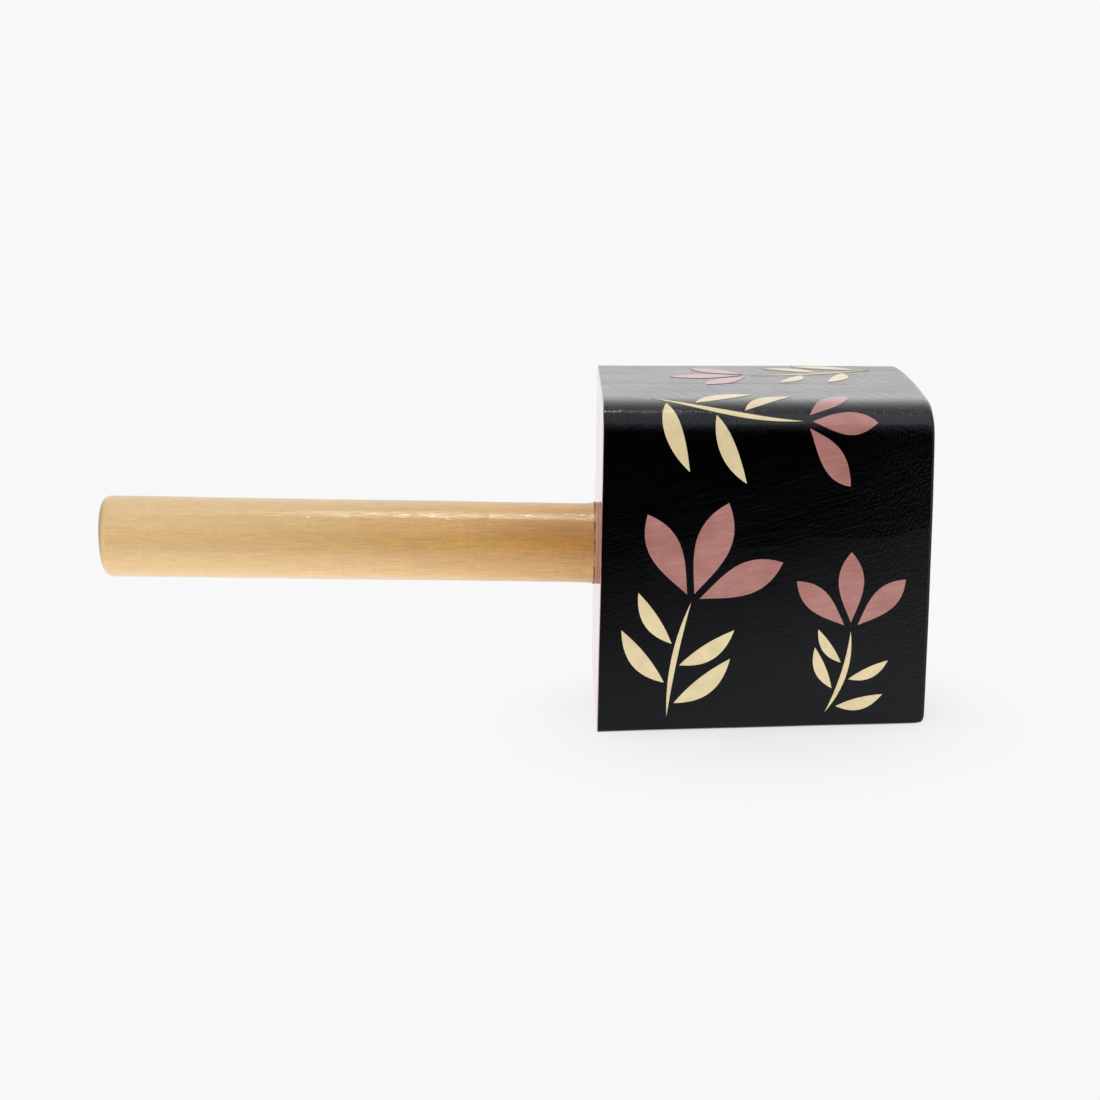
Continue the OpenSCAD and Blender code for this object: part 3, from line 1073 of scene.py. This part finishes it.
def soft_light(name, place, target, size, power, mirrored):
    """A rectangular soft light that faces a point, with or without its own reflection."""
    bpy.ops.object.light_add(type="AREA", location=place)
    lamp = bpy.context.active_object
    lamp.name = name
    lamp.data.shape = "RECTANGLE"
    lamp.data.size, lamp.data.size_y = size
    lamp.data.energy = power
    lamp.visible_glossy = mirrored
    lamp.rotation_euler = (Vector(target) - Vector(place)).to_track_quat("-Z", "Y").to_euler()


class RATTLE_OT_stage(Operator):
    """Lays the floor and sets up the light and the camera"""
    bl_idname = "rattle.stage"
    bl_label = "Stage"

    def execute(self, context):
        settings = context.scene.rattle_stage
        # The floor lies just below the head, whose carved underside is a little uneven.
        floor = start_piece("floor", "plane", size=6, location=(0, 2.725, -0.12 * MM))
        seamless_paper()
        coat(floor, "white_seamless_paper")
        studio_world()
        # Name, place, target, width and height, power, and whether it shows in reflections
        lights = (
            ("overhead_strip", (-0.07, 0.02, 0.9), (-0.06, 0, 0.05), (0.18, 0.06), 1.1, True),
            ("overhead_softbox", (-0.05, 0.45, 1.0), (-0.05, 0.02, 0), (1.2, 0.9), 1.2, False),
            ("left_panel", (-0.22, -0.42, 0.78), (-0.22, 0, 0.05), (0.55, 0.65), 0.55, False),
            ("right_panel", (0.34, -0.42, 0.78), (0.34, 0, 0.05), (0.55, 0.65), 0.95, True),
            ("front_fill", (-0.3, -1.1, 0.75), (-0.05, 0, 0.04), (0.6, 0.5), 2.65, False),
        )
        for light in lights:
            soft_light(*light)
        camera_data = bpy.data.cameras.new("camera")
        camera = bpy.data.objects.new("camera", camera_data)
        context.collection.objects.link(camera)
        camera_data.lens = settings.lens
        camera_data.sensor_width = 36
        camera_data.clip_start = 0.01
        camera.matrix_world = (
            Matrix.Translation(settings.place)
            @ Matrix.Rotation(settings.yaw, 4, "Z")
            @ Matrix.Rotation(math.pi / 2 - settings.pitch, 4, "X")
            @ Matrix.Rotation(-settings.roll, 4, "Z"))
        context.scene.camera = camera
        context.scene.view_settings.view_transform = "Standard"
        return {"FINISHED"}


class RATTLE_PT_panel(Panel):
    """Lists the steps that make the rattle"""
    bl_label = "Hand rattle"
    bl_idname = "RATTLE_PT_panel"
    bl_space_type = "VIEW_3D"
    bl_region_type = "UI"
    bl_category = "Rattle"

    def draw(self, context):
        for step in STEPS:
            self.layout.operator(step.bl_idname)


STEPS = (RATTLE_OT_materials, RATTLE_OT_head_blank, RATTLE_OT_halves, RATTLE_OT_sprigs, RATTLE_OT_handle,
         RATTLE_OT_glue, RATTLE_OT_pebbles, RATTLE_OT_pegs, RATTLE_OT_stage)
SETTINGS = {"rattle_head": HeadSizes, "rattle_handle": HandleSizes, "rattle_finishes": Finishes,
            "rattle_stage": StageSettings}
register_classes, unregister_classes = bpy.utils.register_classes_factory(
    (*SETTINGS.values(), *STEPS, RATTLE_PT_panel))


def register():
    """Adds the classes, and the settings to the scene."""
    register_classes()
    for name, group in SETTINGS.items():
        setattr(bpy.types.Scene, name, PointerProperty(type=group))


def unregister():
    """Takes the settings off the scene, and the classes away."""
    for name in SETTINGS:
        delattr(bpy.types.Scene, name)
    unregister_classes()


def main():
    """Makes the rattle and its stage."""
    register()
    bpy.ops.rattle.materials()
    bpy.ops.rattle.head_blank()
    bpy.ops.rattle.halves()
    bpy.ops.rattle.sprigs()
    bpy.ops.rattle.handle()
    bpy.ops.rattle.glue()
    bpy.ops.rattle.pebbles()
    bpy.ops.rattle.pegs()
    bpy.ops.rattle.stage()


if __name__ == "__main__":
    main()
